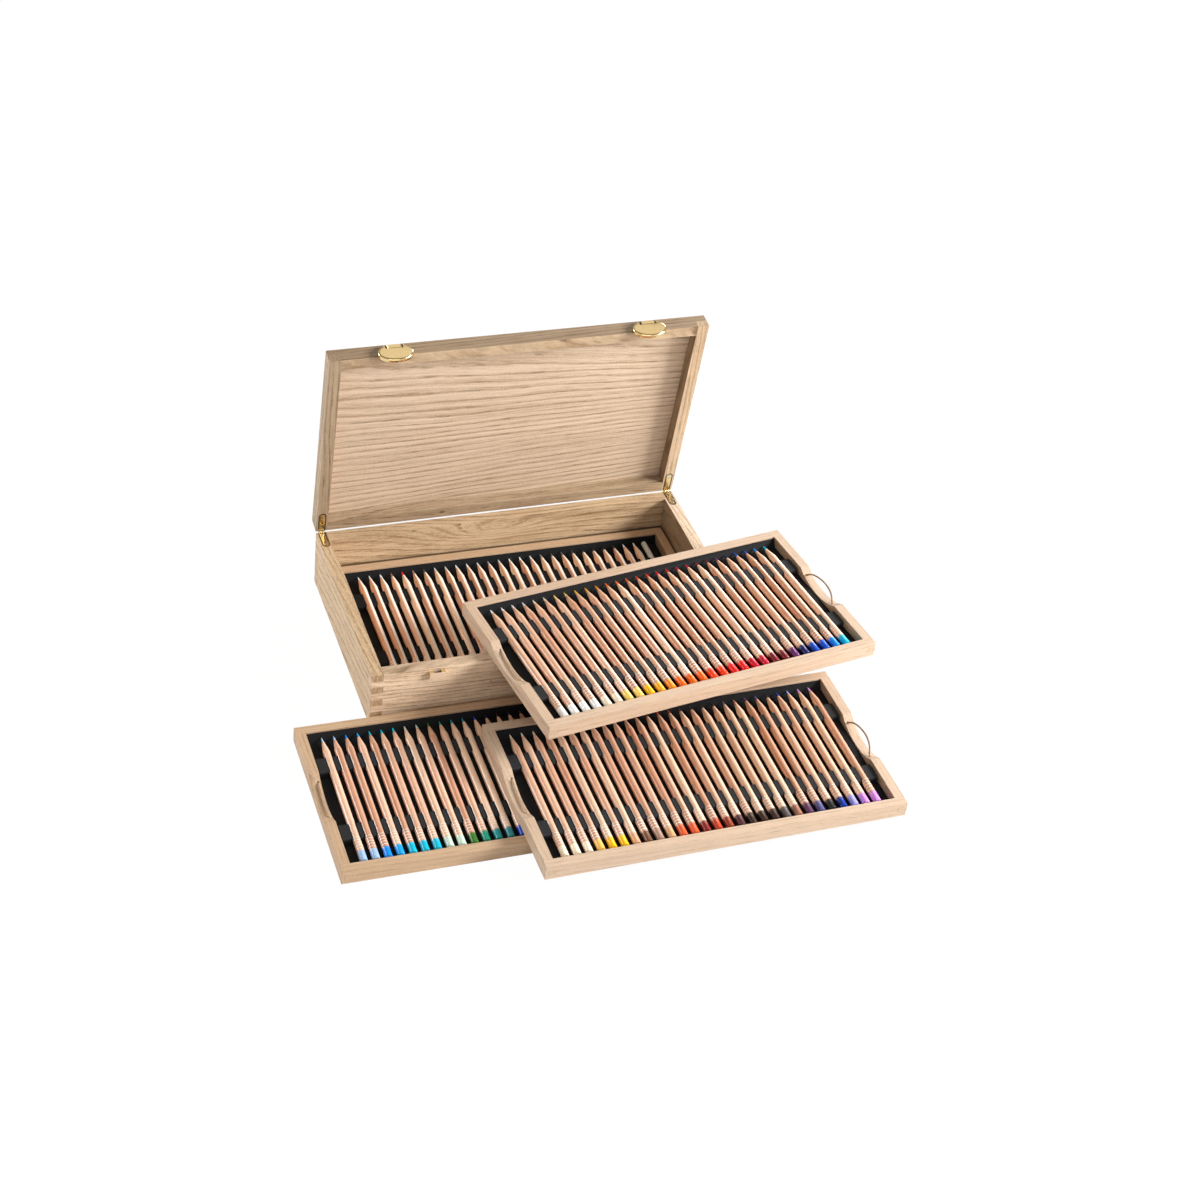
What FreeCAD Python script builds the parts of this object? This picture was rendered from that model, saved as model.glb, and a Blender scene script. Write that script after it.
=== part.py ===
import FreeCAD, Part
import math
import os
from FreeCAD import Placement, Rotation, Vector

# A wooden drawer box for coloured pencils: a finger-jointed case with a hinged lid,
# two drop latches, and four lift-out trays of 28 pencils, one tray in the case, one
# across its rim and two stacked on the table in front. Millimetres. The origin is the
# centre of the case's underside, X along the front, Y to the back, Z up.

# Case and lid
CASE_LENGTH = 410.0
CASE_DEPTH = 241.0
CASE_HEIGHT = 65.0
WALL = 12.5
FLOOR_THICKNESS = 12.0
CASE_FINGERS = 8
LID_HEIGHT = 17.5
LID_FINGERS = 2
PANEL_THICKNESS = 3.5
LID_OPENING = 82.0

# Side-rail hinges
HINGE_AXIS_BEHIND = 1.2
LEAF_LENGTH = 24.5
LEAF_WIDTH = 6.0
LEAF_THICKNESS = 1.5
KNUCKLE_RADIUS = 2.5
KNUCKLE_CLEARANCE = 0.3
MORTISE_GAP = 0.4
KNUCKLE_GAP = 0.1
HINGE_PIN_RADIUS = 0.9
PIN_CLEARANCE = 0.05
MIDDLE_KNUCKLE = 2.2
SCREW_INSETS = (4.5, 20.5)
SCREW_HEAD_RADIUS = 2.1
SCREW_SHANK_RADIUS = 0.9
SCREW_HEAD_DEPTH = 1.2
SCREW_LENGTH = 9.0
SCREW_SINK = 0.05

# Drop latches on the lid and their strikes on the case
LATCH_X = 137.0
LEVER_HALF_WIDTH = 18.5
LEVER_HALF_HEIGHT = 12.0
LEVER_FLAT_Z = 10.5
LEVER_SKIN = 1.1
LEVER_STAND_OFF = 4.5
FLANGE_TOP_Z = 4.0
FLANGE_CLEARANCE = 1.2
LATCH_PLATE = 0.7
LATCH_PIN_Z = 8.6
LATCH_PIN_OUT = 3.2
LATCH_PIN_RADIUS = 0.8
LATCH_BARREL_RADIUS = 2.1
LATCH_BARREL_HALF = 9.2
LATCH_TAB_PROUD = 0.5
LATCH_TAB_DEPTH = 5.0
LUG_WIDTH = 1.3
LUG_GAP = 0.2
STRIKE_WIDTH = 17.0
STRIKE_HEIGHT = 7.0
STRIKE_OUT = 4.2
STRIKE_BELOW_RIM = 3.5
STRIKE_NOTCH = 7.0

# Trays
TRAY_LENGTH = 380.0
TRAY_DEPTH = 206.0
TRAY_HEIGHT = 16.6
TRAY_RAIL = 10.0
TRAY_FINGERS = 3
TRAY_FLOOR = 3.0
SCOOP_HALF_LENGTH = 35.5
SCOOP_ARC_HALF = 27.0
SCOOP_SHOULDER = 4.8
SCOOP_RADIUS = 80.0

# Where each tray's front left corner rests, its turn about Z, and its cord pulls
TRAYS = {
    "tray_1": (Vector(-60.2, -249.0, CASE_HEIGHT), 8.1),
    "tray_2": (Vector(-286.1, -332.5, 0.0), -0.3),
    "tray_3": (Vector(-102.9, -385.4, TRAY_HEIGHT), 0.6),
    "tray_4": (Vector(-TRAY_LENGTH / 2, -TRAY_DEPTH / 2, FLOOR_THICKNESS), 0.0),
}
STANDING_PULLS = {"tray_1": ("right",), "tray_2": (), "tray_3": ("right",), "tray_4": ()}

# Pencils and their black insert
PENCIL_COUNT = 28
PENCIL_PITCH = 12.2
PENCIL_RADIUS = 3.85
PENCIL_AXIS_Z = 10.1
BUTT_Y = 15.0
SHOULDER_Y = 170.5
LEAD_Y = 186.5
TIP_Y = 192.0
LEAD_RADIUS = 1.25
TIP_RADIUS = 0.35
CAP_LENGTH = 9.5
CAP_SKIN = 0.15
STICK_RADIUS = 3.0
STICK_AXIS_Z = 9.25
STICK_END_Y = 190.0
INSERT_TOP = 6.0
INSERT_MARGIN = 0.3
PAD_TOP = 12.6
PAD_SLOPE = 1.6
PAD_ROWS = ((44.5, 66.5), (140.0, 162.0))
BLOCK_INSET = 12.0
CHANNEL_RADIUS = 4.05
RAMP_TOP = 14.8
RAMP_FOOT = 5.2

# Cord pulls
CORD_RADIUS = 0.9
CORD_LIE_RADIUS = 78.7
CORD_ANGLES = (-19.0, -9.5, 0.0, 9.5, 19.0)
CORD_INSIDE = 11.0
PULL_FROM_INSIDE = 2.6
LOOP_FROM_INSIDE = 3.4
LOOP_HALF = (26.5, 24.5, 15.0)
LOOP_OUT = (0.0, 0.5, 4.6, 6.6)
LOOP_HEIGHT = (12.3, 15.1, 17.8, 18.5)
HOLE_RADIUS = 1.1


# Small helpers

def block(x0, x1, y0, y1, z0, z1):
    return Part.makeBox(x1 - x0, y1 - y0, z1 - z0, Vector(x0, y0, z0))


def rod(radius, start, end):
    run = end - start
    return Part.makeCylinder(radius, run.Length, start, run)


def fused(first, *others):
    return first.fuse(list(others)).removeSplitter()


def prism(points, length):
    """The outline points, given in the YZ plane, run for a length along X."""
    wire = Part.makePolygon(points + points[:1])
    return Part.Face(wire).extrude(Vector(length, 0, 0))


def mirrored(shape, x=0.0):
    return shape.mirror(Vector(x, 0, 0), Vector(1, 0, 0))


def export(name, *solids):
    shape = solids[0] if len(solids) == 1 else Part.makeCompound(list(solids))
    shape.exportStep("parts/%s.step" % name)
    print("%-26s %2d solids %9.0f mm3" % (name, len(solids), shape.Volume))


# Finger-jointed frames: the long rails own every other finger, the side rails the rest

def frame_rails(length, depth, height, wall, fingers, long_first):
    step = height / fingers
    front = block(wall, length - wall, 0, wall, 0, height)
    left = block(0, wall, wall, depth - wall, 0, height)
    front_fingers = []
    left_fingers = []
    for k in range(fingers):
        low, high = k * step, (k + 1) * step
        if (k % 2 == 0) == long_first:
            front_fingers.append(block(0, wall, 0, wall, low, high))
            front_fingers.append(block(length - wall, length, 0, wall, low, high))
        else:
            left_fingers.append(block(0, wall, 0, wall, low, high))
            left_fingers.append(block(0, wall, depth - wall, depth, low, high))
    front = fused(front, *front_fingers)
    left = fused(left, *left_fingers)
    back = front.mirror(Vector(0, depth / 2, 0), Vector(0, 1, 0))
    right = mirrored(left, length / 2)
    return front, back, left, right


# Hinges, in the closed box's place: the axis lies in the rim plane behind the back

BACK_Y = CASE_DEPTH / 2
AXIS_Y = BACK_Y + HINGE_AXIS_BEHIND
HINGE_X = CASE_LENGTH / 2 - WALL / 2
HINGE_AXIS = Vector(0, AXIS_Y, CASE_HEIGHT)


def leaf_outline(side, grow=0.0):
    """The flat of one leaf: a stadium's round front end, straight to the back face."""
    half = LEAF_WIDTH / 2 + grow
    front = BACK_Y - LEAF_LENGTH - grow
    z0 = CASE_HEIGHT - LEAF_THICKNESS if side == "case" else CASE_HEIGHT
    flat = block(-half, half, front + half, BACK_Y, z0, z0 + LEAF_THICKNESS)
    round_end = Part.makeCylinder(half, LEAF_THICKNESS, Vector(0, front + half, z0))
    return fused(flat, round_end)


def knuckle_room(half):
    """The round hollow that the knuckle turns in."""
    radius = KNUCKLE_RADIUS + KNUCKLE_CLEARANCE
    return rod(radius, Vector(-half, AXIS_Y, CASE_HEIGHT), Vector(half, AXIS_Y, CASE_HEIGHT))


def mortise(side):
    """What a leaf, its knuckle and its screws take out of the wood."""
    screws = [hinge_screw(side, inset) for inset in SCREW_INSETS]
    room = knuckle_room(LEAF_WIDTH / 2 + MORTISE_GAP)
    return fused(leaf_outline(side, MORTISE_GAP), room, *screws)


def hinge_screw(side, inset):
    """A countersunk screw at the leaf's face, running into the wood."""
    down = -1.0 if side == "case" else 1.0
    head = CASE_HEIGHT + down * SCREW_SINK
    y = BACK_Y - inset
    axis = Vector(0, 0, down)
    cone = Part.makeCone(
        SCREW_HEAD_RADIUS, SCREW_SHANK_RADIUS, SCREW_HEAD_DEPTH, Vector(0, y, head), axis
    )
    shank = Part.makeCylinder(SCREW_SHANK_RADIUS, SCREW_LENGTH, Vector(0, y, head), axis)
    return fused(cone, shank)


def screw_seat(side, inset):
    """The shallow round step above a screw's head, open at the leaf's face."""
    down = -1.0 if side == "case" else 1.0
    face = Vector(0, BACK_Y - inset, CASE_HEIGHT)
    return Part.makeCylinder(SCREW_HEAD_RADIUS, SCREW_SINK, face, Vector(0, 0, down))


def screw_slot(side, inset):
    down = -1.0 if side == "case" else 1.0
    y = BACK_Y - inset
    z = sorted((CASE_HEIGHT, CASE_HEIGHT + down * 0.55))
    return block(-0.3, 0.3, y - 1.9, y + 1.9, z[0], z[1])


def hinge_leaf(side):
    """A leaf with its share of the knuckle: the case's two outer parts, the lid's middle."""
    half = LEAF_WIDTH / 2
    leaf = leaf_outline(side).cut(knuckle_room(half + 1))
    neck_start = AXIS_Y - KNUCKLE_RADIUS - 1.0
    middle = MIDDLE_KNUCKLE / 2
    z0 = CASE_HEIGHT - LEAF_THICKNESS if side == "case" else CASE_HEIGHT
    if side == "case":
        spans = ((-half, -middle - KNUCKLE_GAP), (middle + KNUCKLE_GAP, half))
    else:
        spans = ((-middle, middle),)
    for x0, x1 in spans:
        neck = block(x0, x1, neck_start, AXIS_Y, z0, z0 + LEAF_THICKNESS)
        barrel = rod(KNUCKLE_RADIUS, Vector(x0, AXIS_Y, CASE_HEIGHT), Vector(x1, AXIS_Y, CASE_HEIGHT))
        leaf = fused(leaf, neck, barrel)
    bore_radius = HINGE_PIN_RADIUS + (PIN_CLEARANCE if side == "lid" else 0)
    bore = rod(bore_radius, Vector(-9, AXIS_Y, CASE_HEIGHT), Vector(9, AXIS_Y, CASE_HEIGHT))
    leaf = leaf.cut(bore)
    for inset in SCREW_INSETS:
        leaf = leaf.cut(hinge_screw(side, inset)).cut(screw_seat(side, inset))
    return leaf


def hinge_pin():
    half = LEAF_WIDTH / 2
    ends = Vector(-half - 0.4, AXIS_Y, CASE_HEIGHT), Vector(half + 0.4, AXIS_Y, CASE_HEIGHT)
    return rod(HINGE_PIN_RADIUS, *ends)


def at(shape, x):
    return shape.translated(Vector(x, 0, 0))


# The case

def case_solids():
    rails = frame_rails(CASE_LENGTH, CASE_DEPTH, CASE_HEIGHT, WALL, CASE_FINGERS, True)
    shift = Vector(-CASE_LENGTH / 2, -CASE_DEPTH / 2, 0)
    front, back, left, right = [rail.translated(shift) for rail in rails]
    pocket = mortise("case")
    left = left.cut(at(pocket, -HINGE_X))
    right = right.cut(at(pocket, HINGE_X))
    back = back.cut(at(pocket, -HINGE_X)).cut(at(pocket, HINGE_X))
    half_x = CASE_LENGTH / 2 - WALL
    half_y = CASE_DEPTH / 2 - WALL
    floor = block(-half_x, half_x, -half_y, half_y, 0, FLOOR_THICKNESS)
    return front, back, left, right, floor


# The lid, built shut on the case and then turned open

def opened(shape, angle=LID_OPENING):
    turn = Placement(Vector(0, 0, 0), Rotation(Vector(1, 0, 0), -angle), HINGE_AXIS)
    moved = shape.copy()
    moved.Placement = turn.multiply(moved.Placement)
    return moved


def lid_solids():
    rails = frame_rails(CASE_LENGTH, CASE_DEPTH, LID_HEIGHT, WALL, LID_FINGERS, False)
    shift = Vector(-CASE_LENGTH / 2, -CASE_DEPTH / 2, CASE_HEIGHT)
    front, back, left, right = [rail.translated(shift) for rail in rails]
    pocket = mortise("lid")
    left = left.cut(at(pocket, -HINGE_X))
    right = right.cut(at(pocket, HINGE_X))
    back = back.cut(at(pocket, -HINGE_X)).cut(at(pocket, HINGE_X))
    half_x = CASE_LENGTH / 2 - WALL
    half_y = CASE_DEPTH / 2 - WALL
    top = CASE_HEIGHT + LID_HEIGHT
    panel = block(-half_x, half_x, -half_y, half_y, top - PANEL_THICKNESS, top)
    return front, back, left, right, panel


# Latches: a cupped oval lever with a flat top, hung on a pin between two lugs

FRONT_Y = -CASE_DEPTH / 2
PIN_Y = FRONT_Y - LATCH_PIN_OUT
PIN_Z = CASE_HEIGHT + LATCH_PIN_Z
LUG_INNER = LATCH_BARREL_HALF + LUG_GAP


def oval(half_width, half_height, y0, y1):
    """An oval plate about the rim plane, from y1 forward to y0."""
    ellipse = Part.Ellipse(Vector(0, y0, CASE_HEIGHT), half_width, half_height)
    edge = ellipse.toShape()
    edge.rotate(Vector(0, y0, CASE_HEIGHT), Vector(1, 0, 0), 90)
    return Part.Face(Part.Wire([edge])).extrude(Vector(0, y1 - y0, 0))


def latch_lever():
    inner = FRONT_Y - LEVER_STAND_OFF
    outer = inner - LEVER_SKIN
    cup_back = FRONT_Y - FLANGE_CLEARANCE
    body = oval(LEVER_HALF_WIDTH, LEVER_HALF_HEIGHT, outer, cup_back)
    core = oval(LEVER_HALF_WIDTH - LEVER_SKIN, LEVER_HALF_HEIGHT - LEVER_SKIN, inner, FRONT_Y)
    cup = body.cut(core)
    z_flat = CASE_HEIGHT + LEVER_FLAT_Z
    cup = cup.cut(block(-30, 30, outer - 1, FRONT_Y, z_flat, z_flat + 20))
    z_flange = CASE_HEIGHT + FLANGE_TOP_Z
    cup = cup.cut(block(-30, 30, inner, FRONT_Y, z_flange, z_flat + 20))
    slot_low = CASE_HEIGHT + LEVER_FLAT_Z - 5.5
    for side in (-1, 1):
        x = sorted((side * (LUG_INNER - LUG_GAP), side * (LUG_INNER + LUG_WIDTH + LUG_GAP)))
        cup = cup.cut(block(x[0], x[1], outer - 1, FRONT_Y, slot_low, z_flat + 1))
    half = LATCH_BARREL_HALF
    barrel = rod(LATCH_BARREL_RADIUS, Vector(-half, PIN_Y, PIN_Z), Vector(half, PIN_Y, PIN_Z))
    proud = outer - LATCH_TAB_PROUD
    tab = block(-half + 0.6, half - 0.6, proud, inner, z_flat - LATCH_TAB_DEPTH, z_flat)
    lever = fused(cup, barrel, tab)
    bore_radius = LATCH_PIN_RADIUS + PIN_CLEARANCE
    return lever.cut(rod(bore_radius, Vector(-20, PIN_Y, PIN_Z), Vector(20, PIN_Y, PIN_Z)))


def latch_base():
    plate = oval(LEVER_HALF_WIDTH - 2.5, LEVER_HALF_HEIGHT + 1.0, FRONT_Y - LATCH_PLATE, FRONT_Y)
    plate = plate.cut(block(-30, 30, FRONT_Y - 5, FRONT_Y + 1, CASE_HEIGHT - 30, CASE_HEIGHT + 0.5))
    plate = plate.cut(block(-30, 30, FRONT_Y - 5, FRONT_Y + 1, CASE_HEIGHT + 11.5, CASE_HEIGHT + 30))
    base = plate
    for side in (-1, 1):
        x = sorted((side * LUG_INNER, side * (LUG_INNER + LUG_WIDTH)))
        lug = block(x[0], x[1], PIN_Y - 1.8, FRONT_Y, PIN_Z - 1.9, PIN_Z + 1.9)
        base = fused(base, lug)
    return base.cut(rod(LATCH_PIN_RADIUS, Vector(-20, PIN_Y, PIN_Z), Vector(20, PIN_Y, PIN_Z)))


def latch_pin():
    half = LUG_INNER + LUG_WIDTH
    return rod(LATCH_PIN_RADIUS, Vector(-half, PIN_Y, PIN_Z), Vector(half, PIN_Y, PIN_Z))


def strike():
    """A box-like catch on the case front, its top notched between two ears."""
    half = STRIKE_WIDTH / 2
    top = CASE_HEIGHT - STRIKE_BELOW_RIM
    low = top - STRIKE_HEIGHT
    body = block(-half, half, FRONT_Y - STRIKE_OUT, FRONT_Y, low, top)
    half_notch = STRIKE_NOTCH / 2
    notch = block(-half_notch, half_notch, FRONT_Y - STRIKE_OUT + 1.0, FRONT_Y, low + 1.5, top + 1)
    return body.cut(notch)


# Trays, built with the front left lower corner at the origin

MID_Y = TRAY_DEPTH / 2
SCOOP_LEVEL = TRAY_HEIGHT - SCOOP_SHOULDER
SCOOP_CENTRE_Z = SCOOP_LEVEL + math.sqrt(SCOOP_RADIUS ** 2 - SCOOP_ARC_HALF ** 2)


def scoop_cutter():
    """The finger scoop through a side rail: sloped shoulders, then a hollow arc."""
    a = Vector(-1, MID_Y - SCOOP_HALF_LENGTH, TRAY_HEIGHT)
    b = Vector(-1, MID_Y - SCOOP_ARC_HALF, SCOOP_LEVEL)
    bottom = Vector(-1, MID_Y, SCOOP_CENTRE_Z - SCOOP_RADIUS)
    c = Vector(-1, MID_Y + SCOOP_ARC_HALF, SCOOP_LEVEL)
    d = Vector(-1, MID_Y + SCOOP_HALF_LENGTH, TRAY_HEIGHT)
    above = Vector(0, 0, 5)
    edges = [
        Part.LineSegment(a, b).toShape(),
        Part.Arc(b, bottom, c).toShape(),
        Part.LineSegment(c, d).toShape(),
        Part.LineSegment(d, d + above).toShape(),
        Part.LineSegment(d + above, a + above).toShape(),
        Part.LineSegment(a + above, a).toShape(),
    ]
    return Part.Face(Part.Wire(edges)).extrude(Vector(TRAY_RAIL + 2, 0, 0))


# Cord routes: straight runs joined by tangent arcs

def lying_route():
    """The left pull lies along the scoop and runs down into its two holes."""
    x = TRAY_RAIL - PULL_FROM_INSIDE
    route = []
    for angle in CORD_ANGLES:
        turn = math.radians(angle)
        y = MID_Y + CORD_LIE_RADIUS * math.sin(turn)
        route.append(Vector(x, y, SCOOP_CENTRE_Z - CORD_LIE_RADIUS * math.cos(turn)))
    slant = CORD_INSIDE / math.sqrt(2)
    start = route[0] + Vector(0, -slant, -slant)
    end = route[-1] + Vector(0, slant, -slant)
    return [start] + route + [end]


def standing_route():
    """The raised pull stands up out of its holes and leans out over the rail."""
    x = TRAY_LENGTH - TRAY_RAIL + LOOP_FROM_INSIDE
    outer = []
    for half, out, height in zip(LOOP_HALF, LOOP_OUT, LOOP_HEIGHT):
        outer.append(Vector(x + out, MID_Y - half, height))
    middle = Vector(x + LOOP_OUT[3], MID_Y, LOOP_HEIGHT[3])
    way_in = (outer[0] - outer[1]).normalize()
    outer[0] = outer[0] + way_in * (CORD_INSIDE - 2.0)
    other = [Vector(p.x, 2 * MID_Y - p.y, p.z) for p in reversed(outer)]
    return outer + [middle] + other


def cord_path(route):
    """Lines and arcs through the route; returns the wire, its length and its radii."""
    edges, radii, length = [], [], 0.0
    last = route[0]
    for before, corner, after in zip(route, route[1:], route[2:]):
        run_in = corner - before
        run_out = after - corner
        turn = run_in.getAngle(run_out)
        setback = 0.45 * min(run_in.Length, run_out.Length)
        radius = setback / math.tan(turn / 2)
        start = corner - run_in.normalize() * setback
        end = corner + run_out.normalize() * setback
        inward = ((start + end) * 0.5 - corner).normalize()
        middle = corner + inward * (radius / math.cos(turn / 2) - radius)
        edges.append(Part.LineSegment(last, start).toShape())
        edges.append(Part.Arc(start, middle, end).toShape())
        radii.append(radius)
        last = end
    edges.append(Part.LineSegment(last, route[-1]).toShape())
    length = sum(edge.Length for edge in edges)
    return Part.Wire(edges), length, radii


def swept(route, radius):
    path, length, radii = cord_path(route)
    run = (route[1] - route[0]).normalize()
    section = Part.Wire([Part.makeCircle(radius, route[0], run)])
    return path.makePipeShell([section], True, False), length, radii


def cord(route):
    tube, length, radii = swept(route, CORD_RADIUS)
    expected = math.pi * CORD_RADIUS ** 2 * length
    text = ", ".join("%.1f" % r for r in radii)
    print("cord %.1f mm, volume ratio %.4f, radii %s" % (length, tube.Volume / expected, text))
    return tube


def cord_room(route):
    """The two blind holes that a pull's ends sit in, with lips eased along its bends."""
    pairs = ((route[1], route[0]), (route[-2], route[-1]))
    holes = [rod(HOLE_RADIUS, end + (mouth - end) * 0.4, end + (end - mouth) * 0.03) for mouth, end in pairs]
    return holes + [swept(route, HOLE_RADIUS)[0]]


# Pencils, in a row along X, butts to the front

def pencil_places():
    first = TRAY_LENGTH / 2 - PENCIL_PITCH * (PENCIL_COUNT - 1) / 2
    return [first + PENCIL_PITCH * k for k in range(PENCIL_COUNT)]


def turned(profile, x):
    """A solid of revolution about a pencil's axis; profile lists (radius, y)."""
    points = [Vector(x + r, y, PENCIL_AXIS_Z) for r, y in profile]
    face = Part.Face(Part.makePolygon(points + points[:1]))
    return face.revolve(Vector(x, 0, PENCIL_AXIS_Z), Vector(0, 1, 0), 360)


def barrel(x):
    inner = PENCIL_RADIUS - CAP_SKIN
    profile = [
        (0, BUTT_Y), (inner - 0.5, BUTT_Y), (inner, BUTT_Y + 0.5), (inner, BUTT_Y + CAP_LENGTH),
        (PENCIL_RADIUS, BUTT_Y + CAP_LENGTH), (PENCIL_RADIUS, SHOULDER_Y), (LEAD_RADIUS, LEAD_Y),
        (0, LEAD_Y),
    ]
    return turned(profile, x)


def cap(x):
    inner = PENCIL_RADIUS - CAP_SKIN
    front = BUTT_Y - CAP_SKIN
    profile = [
        (0, front), (PENCIL_RADIUS - 0.5, front), (PENCIL_RADIUS, front + 0.5),
        (PENCIL_RADIUS, BUTT_Y + CAP_LENGTH), (inner, BUTT_Y + CAP_LENGTH), (inner, BUTT_Y + 0.5),
        (inner - 0.5, BUTT_Y), (0, BUTT_Y),
    ]
    return turned(profile, x)


def lead(x):
    return turned([(0, LEAD_Y), (LEAD_RADIUS, LEAD_Y), (TIP_RADIUS, TIP_Y), (0, TIP_Y)], x)


def blending_stick(x):
    start = Vector(x, BUTT_Y, STICK_AXIS_Z)
    return rod(STICK_RADIUS, start, Vector(x, STICK_END_Y, STICK_AXIS_Z))


def insert():
    """The black insert: a floor, two rows of pads, a ramp behind the tips."""
    x0 = TRAY_RAIL + INSERT_MARGIN
    x1 = TRAY_LENGTH - x0
    y0 = TRAY_RAIL + INSERT_MARGIN
    y1 = TRAY_DEPTH - y0
    body = block(x0, x1, y0, y1, TRAY_FLOOR, INSERT_TOP)
    low = INSERT_TOP - 1.0
    ramp = [
        Vector(x0, y1, low), Vector(x0, y1, RAMP_TOP), Vector(x0, y1 - 0.8, RAMP_TOP),
        Vector(x0, y1 - RAMP_FOOT, INSERT_TOP), Vector(x0, y1 - RAMP_FOOT, low),
    ]
    rows = [prism(ramp, x1 - x0)]
    for front, back in PAD_ROWS:
        pad = [
            Vector(BLOCK_INSET, front, low), Vector(BLOCK_INSET, front, PAD_TOP - PAD_SLOPE),
            Vector(BLOCK_INSET, front + PAD_SLOPE, PAD_TOP), Vector(BLOCK_INSET, back - PAD_SLOPE, PAD_TOP),
            Vector(BLOCK_INSET, back, PAD_TOP - PAD_SLOPE), Vector(BLOCK_INSET, back, low),
        ]
        rows.append(prism(pad, TRAY_LENGTH - 2 * BLOCK_INSET))
    body = fused(body, *rows)
    channels = []
    for x in pencil_places():
        start = Vector(x, PAD_ROWS[0][0] - 5, PENCIL_AXIS_Z)
        channels.append(rod(CHANNEL_RADIUS, start, Vector(x, PAD_ROWS[1][1] + 5, PENCIL_AXIS_Z)))
    return body.cut(channels)


def tray_solids(name):
    rails = frame_rails(TRAY_LENGTH, TRAY_DEPTH, TRAY_HEIGHT, TRAY_RAIL, TRAY_FINGERS, True)
    front, back, left, right = rails
    scoop = scoop_cutter()
    left = left.cut(scoop)
    right = right.cut(at(scoop, TRAY_LENGTH - TRAY_RAIL))
    flat = lying_route()
    flat_right = [Vector(TRAY_LENGTH - p.x, p.y, p.z) for p in flat]
    right_route = standing_route() if "right" in STANDING_PULLS[name] else flat_right
    left = left.cut(cord_room(flat))
    right = right.cut(cord_room(right_route))
    inner = TRAY_RAIL
    floor = block(inner, TRAY_LENGTH - inner, inner, TRAY_DEPTH - inner, 0, TRAY_FLOOR)
    places = pencil_places()
    pencils = places[:-1] if name == "tray_4" else places
    solids = {
        "long_rails": [front, back],
        "side_rails": [left, right],
        "floor": [floor],
        "insert": [insert()],
        "pencil_barrels": [barrel(x) for x in pencils],
        "pencil_caps": [cap(x) for x in pencils],
        "pencil_leads": [lead(x) for x in pencils],
        "cord_pulls": [cord(flat), cord(right_route)],
    }
    if name == "tray_4":
        solids["blending_stick"] = [blending_stick(places[-1])]
    return solids


def placed(shape, corner, turn):
    moved = shape.copy()
    moved.Placement = Placement(corner, Rotation(Vector(0, 0, 1), turn)).multiply(moved.Placement)
    return moved


def main():
    os.makedirs("parts", exist_ok=True)
    case_names = ("case_front_wall", "case_back_wall", "case_left_wall", "case_right_wall", "case_floor")
    for name, solid in zip(case_names, case_solids()):
        export(name, solid)
    lid_names = ("lid_front_rail", "lid_back_rail", "lid_left_rail", "lid_right_rail", "lid_panel")
    for name, solid in zip(lid_names, lid_solids()):
        export(name, opened(solid))

    case_screws, lid_screws = [], []
    for side, x in (("left", -HINGE_X), ("right", HINGE_X)):
        export("hinge_%s_case_leaf" % side, at(hinge_leaf("case"), x))
        export("hinge_%s_lid_leaf" % side, opened(at(hinge_leaf("lid"), x)))
        export("hinge_%s_pin" % side, at(hinge_pin(), x))
        for inset in SCREW_INSETS:
            case_screws.append(at(hinge_screw("case", inset).cut(screw_slot("case", inset)), x))
            lid_screws.append(opened(at(hinge_screw("lid", inset).cut(screw_slot("lid", inset)), x)))
    export("case_hinge_screws", *case_screws)
    export("lid_hinge_screws", *lid_screws)

    for side, x in (("left", -LATCH_X), ("right", LATCH_X)):
        export("latch_%s_base" % side, opened(at(latch_base(), x)))
        export("latch_%s_lever" % side, opened(at(latch_lever(), x)))
        export("latch_%s_pin" % side, opened(at(latch_pin(), x)))
        export("strike_%s" % side, at(strike(), x))

    for name, (corner, turn) in TRAYS.items():
        for piece, solids in tray_solids(name).items():
            export("%s_%s" % (name, piece), *[placed(solid, corner, turn) for solid in solids])


main()
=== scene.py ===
"""Pencil drawer box: materials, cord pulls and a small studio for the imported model."""

import math
from functools import partialmethod

import bpy
from bpy.props import FloatProperty, FloatVectorProperty, IntProperty, PointerProperty
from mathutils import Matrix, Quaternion, Vector


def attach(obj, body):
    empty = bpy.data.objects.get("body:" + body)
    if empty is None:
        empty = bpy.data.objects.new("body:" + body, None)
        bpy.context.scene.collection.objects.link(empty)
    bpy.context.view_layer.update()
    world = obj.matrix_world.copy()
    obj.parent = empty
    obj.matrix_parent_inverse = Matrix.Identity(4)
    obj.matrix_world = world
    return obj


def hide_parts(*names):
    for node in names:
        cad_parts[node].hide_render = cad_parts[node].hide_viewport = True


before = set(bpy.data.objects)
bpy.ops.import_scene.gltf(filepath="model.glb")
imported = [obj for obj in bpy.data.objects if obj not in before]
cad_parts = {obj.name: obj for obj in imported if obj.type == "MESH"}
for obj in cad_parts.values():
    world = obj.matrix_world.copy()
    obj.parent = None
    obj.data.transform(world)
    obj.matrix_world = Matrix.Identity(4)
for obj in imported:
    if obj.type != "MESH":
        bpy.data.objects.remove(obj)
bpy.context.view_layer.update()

bl_info = {
    "name": "Pencil Drawer Box",
    "version": (1, 0, 0),
    "blender": (4, 5, 0),
    "location": "View3D > Sidebar > Drawer Box",
    "description": "Dresses a wooden pencil box with stacking trays and lights it",
    "category": "Object",
}


# Settings

def colour(name, value, description):
    return FloatVectorProperty(
        name=name, description=description, subtype="COLOR", size=3, min=0, max=1, default=value
    )


def length(name, value, description):
    return FloatProperty(
        name=name, description=description, unit="LENGTH", precision=5, default=value
    )


def angle(name, degrees, description):
    return FloatProperty(
        name=name, description=description, unit="ROTATION", default=math.radians(degrees)
    )


def place(name, value, description):
    return FloatVectorProperty(
        name=name, description=description, subtype="XYZ", unit="LENGTH", size=3, precision=5,
        default=value,
    )


def number(name, value, description):
    return FloatProperty(name=name, description=description, default=value)


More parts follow.
